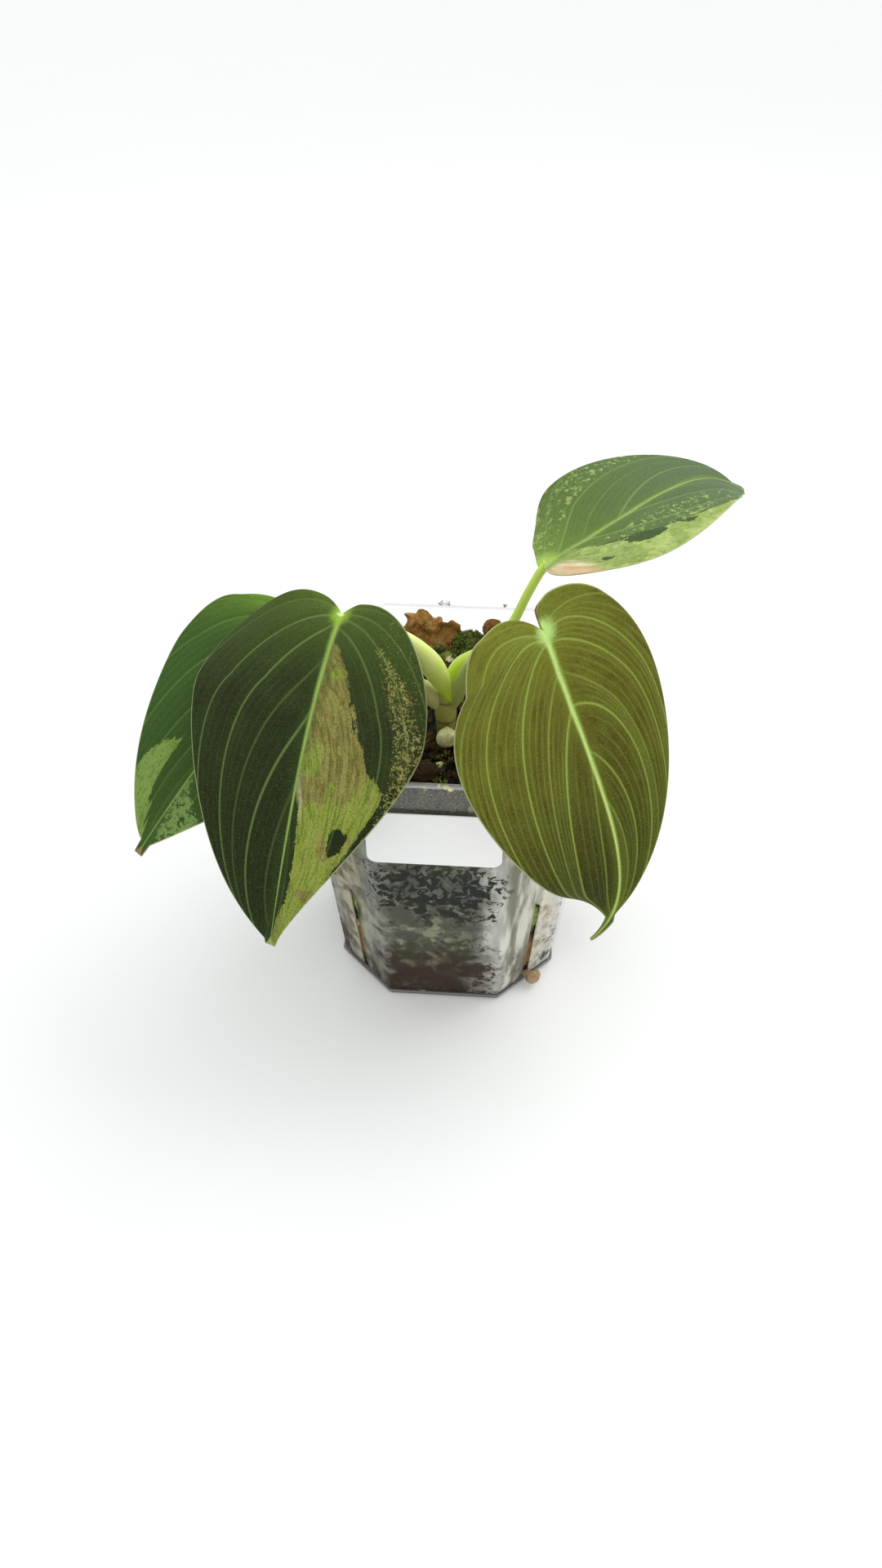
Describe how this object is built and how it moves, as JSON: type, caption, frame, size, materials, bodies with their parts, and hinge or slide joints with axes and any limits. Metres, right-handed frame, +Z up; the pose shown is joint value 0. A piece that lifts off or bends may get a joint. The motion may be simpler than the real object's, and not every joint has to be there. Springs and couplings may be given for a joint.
{
  "type": "potted philodendron plant",
  "caption": "Clear square pot with chamfered corners, filled with bark mix, holding a short stem with heart-shaped variegated leaves on arching petioles.",
  "frame": {"origin": "centre of the pot's underside, where it stands", "axes": "+Z up; the pot's front face, with the label, looks towards -Y; +X to the right seen from the front"},
  "size_m": [0.1735, 0.1234, 0.1513],
  "materials": {
    "clear_plastic": "clear, smooth, misted on the inside",
    "white_label": "smooth coated paper, semi-matt",
    "wet_bark_mix": "coarse, wet, dark brown with pale bits",
    "pumice": "rough, porous, matt",
    "bark": "fibrous, damp",
    "moss": "soft, fine tufts",
    "stem_green": "smooth, waxy",
    "petiole_bright_green": "smooth, waxy, translucent",
    "petiole_pale": "smooth, waxy",
    "leaf_dark_variegated": "velvety sheen, pale veins, gold and cream marbling",
    "leaf_green_variegated": "satin, pale streaks and yellow-green marbling",
    "leaf_bronze": "velvety olive bronze, pale veins",
    "leaf_green": "satin mid green, pale veins"
  },
  "bodies": {
    "root": {"pot": "clear_plastic", "label": "white_label", "potting_mix": "wet_bark_mix", "pumice_front": "pumice", "pumice_left": "pumice", "pumice_right": "pumice", "pumice_back": "pumice", "bark_ball": "bark", "bark_under_ball": "bark", "bark_right": "bark", "bark_front": "bark", "bark_flake_back": "bark", "bark_flake_left": "bark", "bark_flake_side": "bark", "bark_bit": "bark", "moss_back": "moss", "moss_left": "moss", "stem": "stem_green", "petiole_front_left": "petiole_bright_green", "petiole_upper_right": "petiole_bright_green", "petiole_right": "petiole_pale", "petiole_back_left": "petiole_pale", "leaf_front_left": "leaf_dark_variegated", "leaf_upper_right": "leaf_green_variegated", "leaf_right": "leaf_bronze", "leaf_back_left": "leaf_green"}
  },
  "joints": []
}
